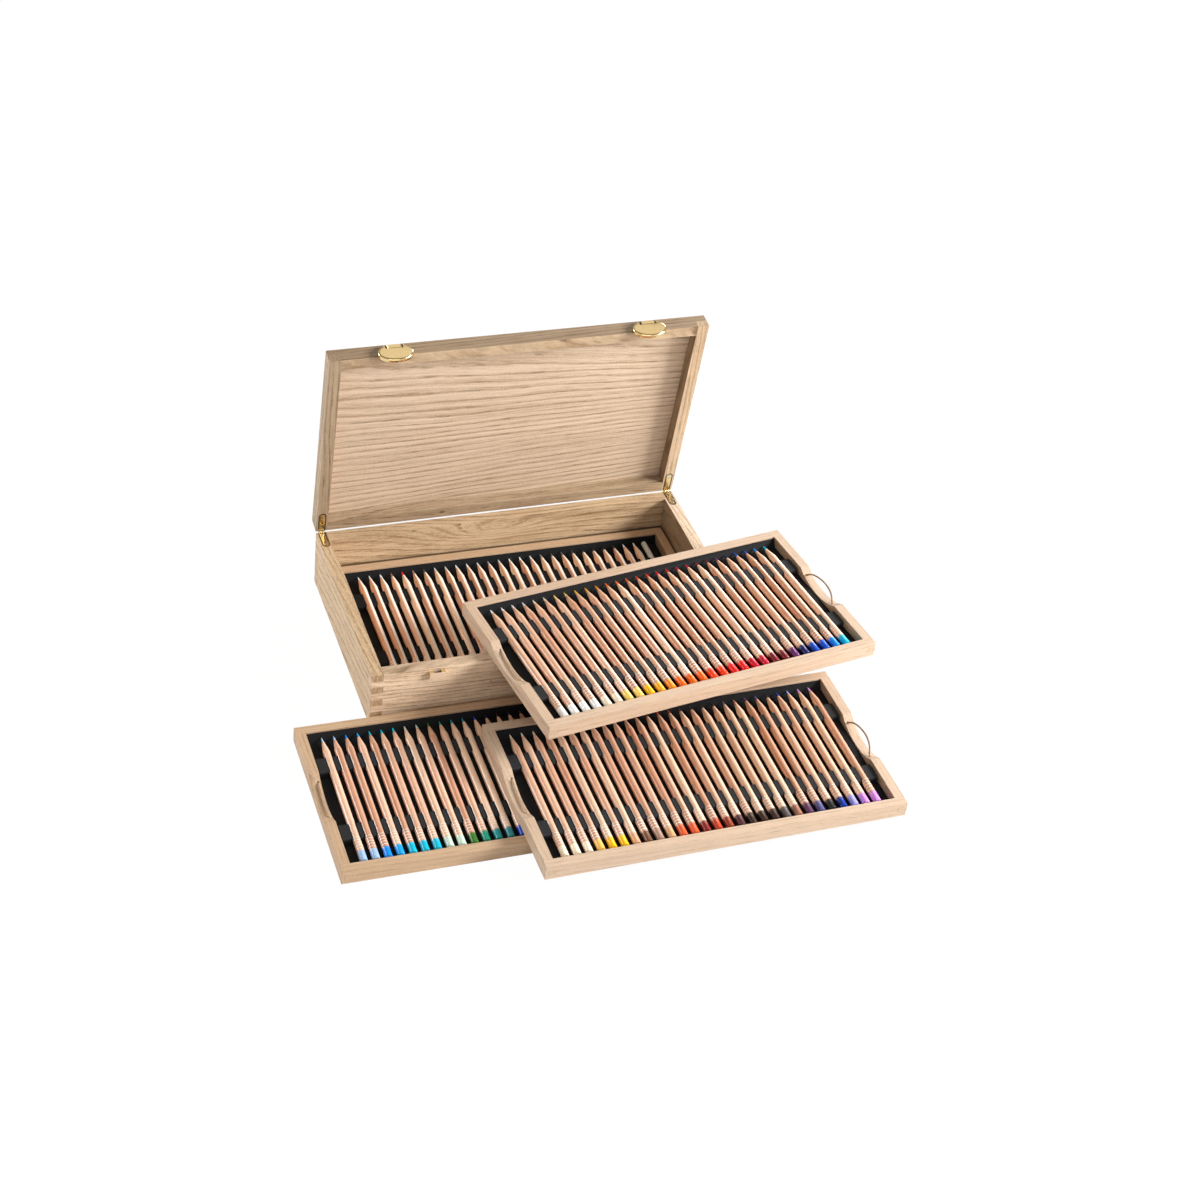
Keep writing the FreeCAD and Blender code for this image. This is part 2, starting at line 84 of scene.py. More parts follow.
class BoxPlaces(bpy.types.PropertyGroup):
    """Where the lid and the trays stand, so that their grain lies along their own rails."""

    hinge_axis: place("Hinge axis", (0.0, 0.1217, 0.065), "A point on the lid's hinge axis")
    lid_angle: angle("Lid angle", 82.0, "How far the lid is turned back")
    tray_1: place("Tray 1 corner", (-0.0602, -0.2490, 0.065), "Front left foot")
    tray_2: place("Tray 2 corner", (-0.2861, -0.3325, 0.0), "Front left foot")
    tray_3: place("Tray 3 corner", (-0.1029, -0.3854, 0.0166), "Front left foot")
    tray_4: place("Tray 4 corner", (-0.1900, -0.1030, 0.012), "Front left foot")
    tray_1_turn: angle("Tray 1 turn", 8.1, "Turn about Z")
    tray_2_turn: angle("Tray 2 turn", -0.3, "Turn about Z")
    tray_3_turn: angle("Tray 3 turn", 0.6, "Turn about Z")
    tray_4_turn: angle("Tray 4 turn", 0.0, "Turn about Z")


class OakSettings(bpy.types.PropertyGroup):
    """Colours and scale of the oak."""

    case_light: colour("Case light", (0.73, 0.545, 0.355), "Latewood of the case")
    case_dark: colour("Case dark", (0.33, 0.195, 0.092), "Earlywood of the case")
    face_light: colour("Front light", (0.72, 0.56, 0.41), "Latewood of the case's front")
    face_dark: colour("Front dark", (0.33, 0.215, 0.125), "Earlywood of the case's front")
    lid_light: colour("Lid light", (0.74, 0.555, 0.375), "Latewood of the lid rails")
    lid_dark: colour("Lid dark", (0.36, 0.225, 0.115), "Earlywood of the lid rails")
    panel_light: colour("Panel light", (0.73, 0.58, 0.44), "Latewood of the lid panel")
    panel_dark: colour("Panel dark", (0.33, 0.21, 0.115), "Earlywood of the lid panel")
    pale_light: colour("Pale tray light", (0.66, 0.50, 0.375), "Latewood of the paler trays")
    pale_dark: colour("Pale tray dark", (0.44, 0.30, 0.19), "Earlywood of the paler trays")
    brown_light: colour("Brown tray light", (0.63, 0.445, 0.295), "Latewood of the browner trays")
    brown_dark: colour("Brown tray dark", (0.39, 0.245, 0.135), "Earlywood of the browner trays")
    edge_radius: length("Eased edge", 0.0004, "Width of the eased wooden edges")
    grain_depth: length("Grain depth", 0.00012, "Depth of the open pores")


class PencilSettings(bpy.types.PropertyGroup):
    """The pencils, from their butts at the front of a tray to their points."""

    count: IntProperty(name="Pencils", description="Places in a tray", default=28, min=1, max=32)
    pitch: length("Pitch", 0.0122, "From one pencil to the next")
    first: length("First pencil", 0.0253, "First axis from the tray's left side")
    butt: length("Butt", 0.015, "Butt from the tray's front")
    shoulder: length("Shoulder", 0.1705, "Start of the sharpened cone")
    cedar_light: colour("Cedar light", (0.95, 0.61, 0.43), "Palest barrels")
    cedar_dark: colour("Cedar dark", (0.56, 0.235, 0.115), "Reddest barrels")
    ring_paint: colour("Ring paint", (0.93, 0.90, 0.86), "Printed rings near the butt")
    ring_first: length("First ring", 0.0150, "First ring from the butt")
    ring_last: length("Last ring", 0.0300, "Last ring from the butt")
    ring_pitch: length("Ring pitch", 0.0037, "From one ring to the next")
    dip: length("Dip", 0.0124, "Length of the painted end")
    point: length("Point", 0.1853, "Start of the coloured point")
    # The sheen is a painted highlight: a pale colour painted along the right side of each barrel
    sheen: number("Sheen", 0.16, "Strength of the pale sheen along a barrel's right side")
    sheen_paint: colour("Sheen colour", (0.98, 0.90, 0.82), "Painted sheen")


class MetalSettings(bpy.types.PropertyGroup):
    """Brass hinges, latches and screws."""

    brass: colour("Brass", (0.90, 0.72, 0.40), "Polished brass")
    brass_deep: colour("Deep brass", (0.74, 0.50, 0.20), "Brass in the hollows")
    roughness: number("Roughness", 0.14, "Mean roughness of the brass")
    edge_radius: length("Rolled edge", 0.0003, "Width of the pressed metal's edges")


class InsertSettings(bpy.types.PropertyGroup):
    """Moulded black inserts that hold the pencils."""

    black: colour("Black", (0.006, 0.0065, 0.008), "Low parts of the insert")
    grey: colour("Grey", (0.026, 0.028, 0.031), "Tops of the pads")
    front_row: length("Front row", 0.0555, "Middle of the front pads from the tray's front")
    back_row: length("Back row", 0.151, "Middle of the back pads")
    edge_radius: length("Pad edge", 0.0008, "Rounding of the pads")
    pad_top: length("Pad top", 0.0126, "Tops of the pads above the tray's underside")
    pad_half_width: length("Pad half width", 0.0019, "Half a pad's width")
    pad_half_length: length("Pad half length", 0.0105, "Half a pad's length")


class CordSettings(bpy.types.PropertyGroup):
    """Cord pulls in the finger scoops."""

    radius: length("Cord radius", 0.0009, "Radius of the cord")
    tan: colour("Tan", (0.40, 0.25, 0.12), "Crests of the twisted strands")
    # The brown is painted shade in the hollows between the strands
    brown: colour("Brown", (0.17, 0.095, 0.045), "Hollows between the strands")
    pale: colour("Pale", (0.66, 0.49, 0.34), "Dry wax on the twine")
    strand_pitch: length("Strand pitch", 0.0024, "Length of one twist")
    lying_run: length("Lying pull", 0.0723, "Length of a lying pull")
    standing_run: length("Raised pull", 0.0756, "Length of a raised pull")


class StudioSettings(bpy.types.PropertyGroup):
    """Camera, lights and floor."""

    camera_place: place("Camera", (-0.7045, -1.8168, 1.5896), "Where the camera stands")
    camera_target: place("Target", (0.0613, -0.0504, 0.065), "What the camera looks at")
    camera_roll: angle("Roll", 7.49, "Turn about the line of sight")
    lens: number("Lens", 69.62, "Focal length in millimetres on a sensor 36 wide")
    floor_size: length("Floor", 12.0, "Side of the floor")
    key_power: number("Key light", 120.0, "Power, at the right")
    front_power: number("Front light", 8.0, "Power, behind the camera")
    fill_power: number("Fill light", 20.0, "Power, behind at the left")
    strip_power: number("Strip light", 16.0, "Power, low and behind at the right")
    sheet_power: number("Sheet light", 2.3, "Power, faint and above, for the brass to mirror")
    sky: colour("Surroundings", (1.0, 0.93, 0.83), "Light from all around")
    horizon_strength: number("Horizon", 0.14, "Strength at the horizon")
    zenith_strength: number("Zenith", 0.42, "Strength overhead")


class BoxSettings(bpy.types.PropertyGroup):
    """All settings of the box."""

    places: PointerProperty(type=BoxPlaces)
    oak: PointerProperty(type=OakSettings)
    pencils: PointerProperty(type=PencilSettings)
    metal: PointerProperty(type=MetalSettings)
    insert: PointerProperty(type=InsertSettings)
    cord: PointerProperty(type=CordSettings)
    studio: PointerProperty(type=StudioSettings)


# Shader graphs

class Value:
    """An output socket whose arithmetic adds the nodes for it."""

    def __init__(self, graph, socket):
        self.graph = graph
        self.socket = socket

    def apply(self, operation, *others):
        return self.graph.math(operation, self, *others)

    __add__ = __radd__ = partialmethod(apply, "ADD")
    __mul__ = __rmul__ = partialmethod(apply, "MULTIPLY")
    __sub__ = partialmethod(apply, "SUBTRACT")
    __truediv__ = partialmethod(apply, "DIVIDE")
    __pow__ = partialmethod(apply, "POWER")
    __abs__ = partialmethod(apply, "ABSOLUTE")
    floor = partialmethod(apply, "FLOOR")
    fraction = partialmethod(apply, "FRACT")
    sine = partialmethod(apply, "SINE")
    root = partialmethod(apply, "SQRT")
    least = partialmethod(apply, "MINIMUM")
    most = partialmethod(apply, "MAXIMUM")

    def __rsub__(self, other):
        return self.graph.math("SUBTRACT", other, self)

    def __rtruediv__(self, other):
        return self.graph.math("DIVIDE", other, self)

    def __neg__(self):
        return self * -1.0

    def step(self, low, high):
        """0 below low, 1 above high and smooth between them."""
        settings = {"interpolation_type": "SMOOTHSTEP"}
        sockets = {"Value": self, "From Min": low, "From Max": high}
        return self.graph.node("MapRange", settings, sockets, "Result")

    def band(self, low, high, soft):
        """1 between low and high, falling to 0 over soft on each side."""
        return self.step(low - soft, low) * (1.0 - self.step(high, high + soft))


class Graph:
    """The nodes of a new material, or of a world."""

    def __init__(self, name, world=None):
        self.block = world or bpy.data.materials.new(name)
        self.output = "OutputWorld" if world else "OutputMaterial"
        self.block.use_nodes = True
        self.tree = self.block.node_tree
        self.tree.nodes.clear()

    def node(self, kind, settings=None, sockets=None, output=0):
        """Adds a node: its settings or stops first, then the values and links of its sockets."""
        node = self.tree.nodes.new("ShaderNode" + kind)
        for key, value in (settings or {}).items():
            if key == "stops":
                self.set_stops(node.color_ramp, value)
            else:
                setattr(node, key, value)
        for key, value in (sockets or {}).items():
            self.connect(node.inputs[key], value)
        return node if output is None else Value(self, node.outputs[output])

    def set_stops(self, ramp, colours):
        """Equal flat steps, one for each colour."""
        ramp.interpolation = "CONSTANT"
        while len(ramp.elements) < len(colours):
            ramp.elements.new(1.0)
        for i, value in enumerate(colours):
            ramp.elements[i].position = i / len(colours)
            ramp.elements[i].color = (*value, 1.0)

    def connect(self, socket, value):
        if isinstance(value, Value):
            self.tree.links.new(value.socket, socket)
        elif socket.type == "RGBA":
            socket.default_value = (*value, 1.0)[:4]
        else:
            socket.default_value = value

    def math(self, operation, *values):
        return self.node("Math", {"operation": operation}, dict(enumerate(values)))

    def vector_math(self, operation, *values, output=0):
        sockets = dict(enumerate(values))
        return self.node("VectorMath", {"operation": operation}, sockets, output)

    def mix(self, factor, first, second, blend="MIX"):
        settings = {"data_type": "RGBA", "blend_type": blend}
        return self.node("Mix", settings, {0: factor, 6: first, 7: second}, 2)

    def split(self, vector):
        node = self.node("SeparateXYZ", None, {0: vector}, None)
        return [Value(self, socket) for socket in node.outputs]

    def join(self, x, y, z):
        return self.node("CombineXYZ", None, {0: x, 1: y, 2: z})

    def noise(self, vector, scale=1.0, detail=2.0, roughness=0.5):
        sockets = {"Vector": vector, "Scale": scale, "Detail": detail, "Roughness": roughness}
        return self.node("TexNoise", None, sockets, "Fac")

    def random(self, value):
        """A number from 0 to 1 that differs from one whole number to the next."""
        settings = {"noise_dimensions": "1D"}
        return self.node("TexWhiteNoise", settings, {"W": value}, "Value")

    def steps(self, factor, colours):
        return self.node("ValToRGB", {"stops": colours}, {"Fac": factor}, "Color")

    def ray(self, kind):
        """1 for rays of that kind, such as Camera or Glossy."""
        return self.node("LightPath", None, None, f"Is {kind} Ray")

    def place(self):
        return self.node("TexCoord", None, None, "Object")

    def bump(self, height, distance):
        sockets = {"Height": height, "Distance": distance}
        return self.node("Bump", None, sockets, "Normal")

    def mix_shaders(self, factor, first, second):
        return self.node("MixShader", None, {0: factor, 1: first, 2: second}, "Shader")

    def shader(self, sockets):
        return self.node("BsdfPrincipled", None, sockets, "BSDF")

    def finish(self, surface):
        """Links a shader to the output and returns the material or world."""
        self.node(self.output, None, {"Surface": surface}, None)
        return self.block

    def coated(self, sockets):
        """The finished material of one principled shader."""
        return self.finish(self.shader(sockets))


# Places of the moving pieces, for textures that lie along them

class Frame:
    """The place of a lid or tray: a texture point or direction is turned back into it."""

    def __init__(self, origin, axis, turn, shift):
        self.origin = Vector(origin)
        self.axis = axis
        self.turn = turn
        self.shift = Vector(shift)

    def point(self, graph):
        turned = self.rotate(graph, graph.place(), self.origin)
        return graph.vector_math("SUBTRACT", turned, self.shift)

    def normal(self, graph):
        direction = graph.node("TexCoord", None, None, "Normal")
        return self.rotate(graph, direction, Vector((0, 0, 0)))

    def rotate(self, graph, vector, centre):
        settings = {"rotation_type": self.axis}
        sockets = {"Vector": vector, "Center": centre, "Angle": self.turn}
        return graph.node("VectorRotate", settings, sockets)


def box():
    """All settings."""
    return bpy.context.scene.drawer_box


def scaled(tone, factor):
    return tuple(factor * c for c in tone)


def piece_frame(node):
    """The place at rest of the tray or lid that a node belongs to."""
    places = box().places
    if node.startswith("tray"):
        corner = getattr(places, node[:6])
        return Frame(corner, "Z_AXIS", -getattr(places, node[:6] + "_turn"), corner)
    if node.startswith(("lid", "latch")) or node.endswith("lid_leaf"):
        return Frame(places.hinge_axis, "X_AXIS", places.lid_angle, (0, 0, 0))
    return Frame((0, 0, 0), "Z_AXIS", 0.0, (0, 0, 0))


def add_object(name, data):
    piece = bpy.data.objects.new(name, data)
    bpy.context.scene.collection.objects.link(piece)
    return piece


def set_material(node, material):
    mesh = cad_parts[node].data
    mesh.materials.clear()
    mesh.materials.append(material)


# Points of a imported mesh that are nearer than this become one
WELD_GAP = 0.000005


def ease_edges(node, width, segments=2, angle_limit=35.0):
    """Rounds a piece's hard edges slightly, as sanding or pressing does."""
    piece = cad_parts[node]
    weld = piece.modifiers.new("Weld", "WELD")
    weld.merge_threshold = WELD_GAP
    bevel = piece.modifiers.new("Eased edges", "BEVEL")
    bevel.width = width
    bevel.segments = segments
    bevel.limit_method = "ANGLE"
    bevel.angle_limit = math.radians(angle_limit)


# Oak

# Where the hinge leaves are let in, with a painted shadow round them, and how high the tray in the
# case hides its walls, with painted shade below that
HINGE_X = 0.19875
HINGE_END = 0.0990
HINGE_RIM = 0.0650
LEAF_HALF = 0.0041
FOOT_SHADE_TOP = 0.0264

# From where to where a face counts as turned towards a direction
TURNED = (0.75, 0.90)

# Parts of the dark tone: in pores and in painted shade, in a knot and in the painted shadow in the
# gap round a leaf
DEEP = 0.40
KNOT = 0.35
LEAF_GAP_SHADOW = 0.06

PLAIN_GRAIN = dict(
    upright=False, seed=0.0, slope=0.03, fan=0.0, spacing=0.0050, pith=0.09, drift=0.030,
    waver=0.0020, late=0.50, contrast=1.0, speckle=0.4, blotch=0.5, pores=0.15, end=0.65,
    face_shade=1.0, painted_rim_shade=1.0, inner_shade=1.0, inner=1.0, hinge_x=0.0, foot=None,
    knots=(), figures=(),
)
CASE_GRAIN = dict(contrast=1.0, speckle=0.8, blotch=1.0, pores=0.25, slope=0.06)
WALL_GRAIN = dict(contrast=0.9, speckle=1.2, blotch=0.15, drift=0.008, waver=0.0006)
LID_GRAIN = dict(contrast=1.1, speckle=0.7, blotch=0.8, pores=0.25, slope=-0.03, waver=0.0012)
PANEL_GRAIN = dict(
    seed=11.0, slope=0.0, fan=0.57, spacing=0.0062, pith=0.02, drift=0.022, waver=0.0012,
    contrast=0.9, blotch=0.30, speckle=0.6, late=0.45, pores=0.10,
)
TRAY_GRAIN = dict(
    slope=0.015, spacing=0.0042, drift=0.018, waver=0.0010, contrast=0.55,
    speckle=0.60, blotch=0.25, pores=0.12, end=0.30, inner=0.19,
)
SIDES = ("front", "back", "left", "right")
# Tone of each board in the order of SIDES; the case's front and right walls are brighter, partly
# the wood's own tone and partly painted light where light falls strongly
CASE_SHADES = (1.30, 0.92, 0.95, 1.12)
LID_SHADES = (0.84, 0.62, 0.64, 0.93)


def paint_shade(graph, board, point, normal, surface, dark):
    """Paints shade on a board: on top and bottom faces, inner faces, at its foot and as a shadow
    round a hinge leaf; faces turned to -Y are only a darker tone.
    """
    x, y, z = point
    nx, ny, nz = normal
    painted_shade_tone = scaled(dark, DEEP)
    # Painted shade on top and bottom faces and on inner faces turned to -X; faces turned to -Y are
    # made a darker tone
    for key, facing in (("face_shade", -ny), ("painted_rim_shade", abs(nz)), ("inner_shade", -nx)):
        if board[key] < 1.0:
            share = facing.step(*TURNED) * (1.0 - board[key])
            if key == "inner_shade" and board["inner"] < 1.0:
                share = share * x.step(board["inner"] - 0.001, board["inner"])
            surface = graph.mix(share, surface, painted_shade_tone)
    # Painted shade at the foot of a wall's inner face, below the top of the tray that stands in the
    # case
    if board["foot"]:
        inward = (nx * board["foot"][0] + ny * board["foot"][1]).step(*TURNED)
        low = 1.0 - z.step(FOOT_SHADE_TOP, FOOT_SHADE_TOP + 0.0012)
        surface = graph.mix(inward * low * 0.85, surface, painted_shade_tone)
    # A painted shadow in the gap round a hinge leaf
    if board["hinge_x"]:
        gap = ((x - board["hinge_x"]) ** 2.0 + (y - HINGE_END).least(0.0) ** 2.0).root()
        line = 1.0 - gap.step(LEAF_HALF, LEAF_HALF + 0.0005)
        line = line * (1.0 - abs(z - HINGE_RIM).step(0.0016, 0.0020))
        surface = graph.mix(line * 0.92, surface, scaled(dark, LEAF_GAP_SHADOW))
    return surface


def knotted(graph, board, point, blotch, surface, dark):
    """Adds small dark knots with a ragged outline."""
    for x, y, z, size in board["knots"]:
        offset = graph.vector_math("SUBTRACT", point, Vector((x, y, z)))
        span = graph.vector_math("MULTIPLY", offset, Vector((0.6, 1.0, 1.0)))
        distance = graph.vector_math("LENGTH", span, output="Value")
        knot = 1.0 - (distance + blotch * size).step(0.35 * size, size)
        surface = graph.mix(knot * 0.75, surface, scaled(dark, KNOT))
    return surface


def oak(name, where, board, light, dark):
    """Open-grained oak: rings, fine lines and pores that all follow one warped depth."""
    seed, contrast = board["seed"], board["contrast"]
    graph = Graph(name)
    point = where.point(graph)
    x, y, z = graph.split(point)
    nx, ny, nz = graph.split(where.normal(graph))
    along, across, end = (y, x, ny) if board["upright"] else (x, y, nx)

    def cloud(a, b, c, detail=2.0, roughness=0.5):
        vector = graph.join(along * a + seed * 3.7, across * b + seed * 1.9, z * c)
        return graph.noise(vector, detail=detail, roughness=roughness) - 0.5

    centre = (0.42 if board["upright"] else 0.16) + 0.07 * math.sin(seed * 5.1)
    reach = ((across + centre) ** 2.0 + (z + board["pith"]) ** 2.0).root()
    depth = reach + along * board["slope"] + along * across * board["fan"]
    depth = depth + cloud(3.0, 9.0, 9.0) * board["drift"] + cloud(20.0, 50.0, 50.0) * board["waver"]
    for centre_x, centre_z, wide, high, rise in board["figures"]:
        spread = ((x - centre_x) / wide) ** 2.0 + ((z - centre_z) / high) ** 2.0
        depth = depth + rise / (1.0 + spread)

    def grain(a, b, detail=2.0, roughness=0.5):
        vector = graph.join(along * a + seed * 1.3, depth * b, z * b * 0.6)
        return graph.noise(vector, detail=detail, roughness=roughness) - 0.5

    uneven = grain(1.5, 70.0, 1.0)
    ring = (depth / board["spacing"] + uneven * 0.9).fraction()
    early = ring.step(board["late"], 0.86) * (1.0 - ring.step(0.90, 1.0))
    line = grain(3.0, 480.0, 2.0, 0.6)
    streak = grain(16.0, 900.0, 2.0, 0.6)
    fine = grain(70.0, 1900.0, 2.0, 0.6)
    blotch = cloud(8.0, 60.0, 60.0, 3.0, 0.6)
    speck = cloud(420.0, 900.0, 900.0, 1.5)
    pores = grain(45.0, 1000.0, 1.5).step(0.04, 0.16) * (early * 0.75 + board["pores"])

    tone = 0.70 - early * 0.26 * contrast + line * 0.80 * contrast + streak * 0.70 * contrast
    tone = tone + (fine + speck * 0.7) * board["speckle"] + blotch * board["blotch"]
    long_grain = graph.mix(tone.step(0.0, 1.0), dark, light)
    filled = (pores * (0.60 * contrast)).least(1.0)
    long_grain = graph.mix(filled, long_grain, scaled(dark, DEEP))

    comb = graph.noise(graph.join(along * 30.0, across * 900.0, z * 60.0)) - 0.5
    end_tone = 0.42 + comb * 1.9
    end_grain = graph.mix(end_tone.step(0.0, 1.0), dark, scaled(light, 0.9))
    is_end = abs(end).step(0.72, 0.90)
    surface = graph.mix(is_end * board["end"], long_grain, end_grain)
    # Painted shade on some faces and a painted shadow round the hinge leaves
    surface = paint_shade(graph, board, (x, y, z), (nx, ny, nz), surface, dark)
    surface = knotted(graph, board, point, blotch, surface, dark)

    height = fine * 0.5 + streak * 0.8 - pores * 1.2 - early * 0.25
    return graph.coated({
        "Base Color": surface,
        "Roughness": 0.55 + fine * 0.16 + pores * 0.15,
        "Coat Weight": 0.06,
        "Coat Roughness": 0.45,
        "Specular IOR Level": 0.30,
        "Normal": graph.bump(height, box().oak.grain_depth),
    })


def side_boards(number, side):
    """The case wall and the lid rail of a side: node, family of colours, shade and grain."""
    upright = side in ("left", "right")
    case_board = dict(CASE_GRAIN, upright=upright, seed=1.0 + number)
    lid_board = dict(LID_GRAIN, upright=upright, seed=6.0 + number)
    if upright:
        case_board.update(WALL_GRAIN)
        # A painted shadow round this side's hinge leaves
        hinge_x = HINGE_X if side == "right" else -HINGE_X
        case_board["hinge_x"] = lid_board["hinge_x"] = hinge_x
    # Painted shade on the inner faces of the case's right wall and the lid's right rail
    if side == "right":
        case_board["inner_shade"] = lid_board["inner_shade"] = 0.44
    # Painted shade at the foot of the inner faces of the left, right and back walls
    case_board["foot"] = {"left": (1, 0), "right": (-1, 0), "back": (0, -1)}.get(side)
    if side == "front":
        # Painted shade on the top of the case's front wall
        case_board["painted_rim_shade"] = 0.60
        case_board["knots"] = ((-0.078, -0.1205, 0.036, 0.0012),)
        lid_board["face_shade"] = 0.55
    if side == "back":
        case_board["figures"] = ((-0.01, 0.052, 0.060, 0.012, 0.022),)
        case_board["knots"] = ((-0.0475, 0.108, 0.063, 0.0018),)
        lid_board["knots"] = (
            (-0.0715, 0.108, 0.0795, 0.0018), (-0.0645, 0.1135, 0.065, 0.0028),
        )
    # The case's right wall takes the panel's paler colours: partly the wood's own tone, partly
    # painted light where light falls strongly on it
    family = {"right": "panel", "front": "face"}.get(side, "case")
    return [
        (f"case_{side}_wall", family, CASE_SHADES[number], case_board),
        (f"lid_{side}_rail", "lid", LID_SHADES[number], lid_board),
    ]


def tray_boards(number):
    """The rails and the floor of a tray, in the same form."""
    family = "pale" if number in (1, 3) else "brown"
    shade = 0.95 if number == 4 else 1.0
    listed = []
    for seed, part in ((20, "long_rails"), (30, "side_rails"), (40, "floor")):
        board = dict(TRAY_GRAIN, seed=float(seed + number))
        if part == "side_rails":
            # Painted shade on the inner face of a tray's right rail
            board.update(upright=True, inner_shade=0.6)
        listed.append((f"tray_{number}_{part}", family, shade, board))
    return listed


class BOX_OT_oak(bpy.types.Operator):
    """Give every wooden board its own run of oak, along its length"""

    bl_idname = "box.oak"
    bl_label = "Oak Boards"

    def execute(self, context):
        wood = box().oak
        boards = []
        for number, side in enumerate(SIDES):
            boards += side_boards(number, side)
        boards.append(("case_floor", "case", 1.0, {"seed": 5.0}))
        boards.append(("lid_panel", "panel", 1.05, PANEL_GRAIN))
        for number in range(1, 5):
            boards += tray_boards(number)
        for node, family, shade, changes in boards:
            board = dict(PLAIN_GRAIN, **changes)
            light = scaled(getattr(wood, family + "_light"), shade)
            dark = scaled(getattr(wood, family + "_dark"), shade)
            set_material(node, oak("oak_" + node, piece_frame(node), board, light, dark))
            ease_edges(node, wood.edge_radius)
        return {"FINISHED"}


# Pencils

PAINTS = {
    "white": (0.87, 0.88, 0.88), "cream": (0.85, 0.74, 0.58), "lemon": (0.92, 0.68, 0.16),
    "yellow": (0.95, 0.55, 0.0), "gold": (0.92, 0.45, 0.01), "amber": (0.92, 0.30, 0.0),
    "orange": (0.92, 0.16, 0.0), "poppy": (0.85, 0.055, 0.005), "red": (0.72, 0.008, 0.008),
    "crimson": (0.50, 0.004, 0.025), "wine": (0.18, 0.006, 0.012), "purple": (0.12, 0.02, 0.14),
    "navy": (0.008, 0.012, 0.11), "blue": (0.0, 0.065, 0.50), "azure": (0.0, 0.24, 0.80),
    "sky": (0.0, 0.34, 0.80), "ice": (0.34, 0.52, 0.82), "cyan": (0.0, 0.42, 0.60),
    "aqua": (0.0, 0.28, 0.30), "mint": (0.50, 0.64, 0.55), "sea": (0.006, 0.27, 0.165),
    "green": (0.033, 0.16, 0.02), "leaf": (0.16, 0.45, 0.03), "moss": (0.12, 0.20, 0.03),
    "teal": (0.01, 0.20, 0.24), "ochre": (0.75, 0.44, 0.085), "tan": (0.60, 0.33, 0.185),
    "sand": (0.60, 0.34, 0.155), "taupe": (0.36, 0.22, 0.165), "brown": (0.15, 0.065, 0.03),
    "umber": (0.040, 0.018, 0.011), "rust": (0.27, 0.040, 0.015), "brick": (0.68, 0.095, 0.022),
    "oxblood": (0.20, 0.014, 0.008), "scarlet": (0.50, 0.045, 0.012), "plum": (0.08, 0.024, 0.03),
    "grey": (0.25, 0.25, 0.25), "iron": (0.105, 0.092, 0.092), "steel": (0.06, 0.06, 0.065),
    "silver": (0.55, 0.55, 0.54), "cocoa": (0.32, 0.145, 0.095), "mauve": (0.10, 0.04, 0.10),
    "slate": (0.085, 0.085, 0.23), "black": (0.012, 0.012, 0.014), "royal": (0.0, 0.026, 0.29),
    "lilac": (0.31, 0.31, 0.70), "orchid": (0.55, 0.25, 0.66),
}
ROWS = {
    "tray_1": (
        "white white white white cream cream lemon lemon yellow gold amber orange orange "
        "orange poppy poppy red red crimson crimson wine wine purple navy blue blue azure "
        "cyan"
    ),
    "tray_2": (
        "ice ice azure sky cyan cyan cyan mint mint green sea aqua teal blue navy umber navy "
        "umber navy umber moss moss sea green leaf moss green umber"
    ),
    "tray_3": (
        "cream cream cream ochre yellow yellow tan brown taupe sand brick brick oxblood "
        "scarlet rust plum umber umber umber iron cocoa mauve slate black royal lilac orchid "
        "orchid"
    ),
    "tray_4": (
        "silver silver white cocoa red taupe steel silver silver white white silver grey "
        "silver white white white grey steel iron steel black black black umber white white "
        "white"
    ),
}


def pencil_place(x):
    """Counts pencils from the left: whole numbers lie halfway between two of them."""
    pencils = box().pencils
    return (x - (pencils.first - pencils.pitch / 2)) / pencils.pitch


def row_colour(graph, tray, x):
    """The paint of the pencil that a point belongs to."""
    factor = (pencil_place(x).floor() + 0.5) / box().pencils.count
    paints = [PAINTS[word] for word in ROWS[tray].split()]
    return graph.steps(factor, [scaled(p, min(1.25, 0.95 / max(p))) for p in paints])


def row_shade(graph, tray, x, shade):
    """The paint again, lighter or darker by shade."""
    tint = graph.join(shade, shade, shade)
    return graph.mix(1.0, row_colour(graph, tray, x), tint, "MULTIPLY")


# More than the pencils of a tray, so that no two trays draw the same random numbers
TRAY_RUN = 31.0
CAP_EDGE = 0.0004
STICK_EDGE = 0.0005


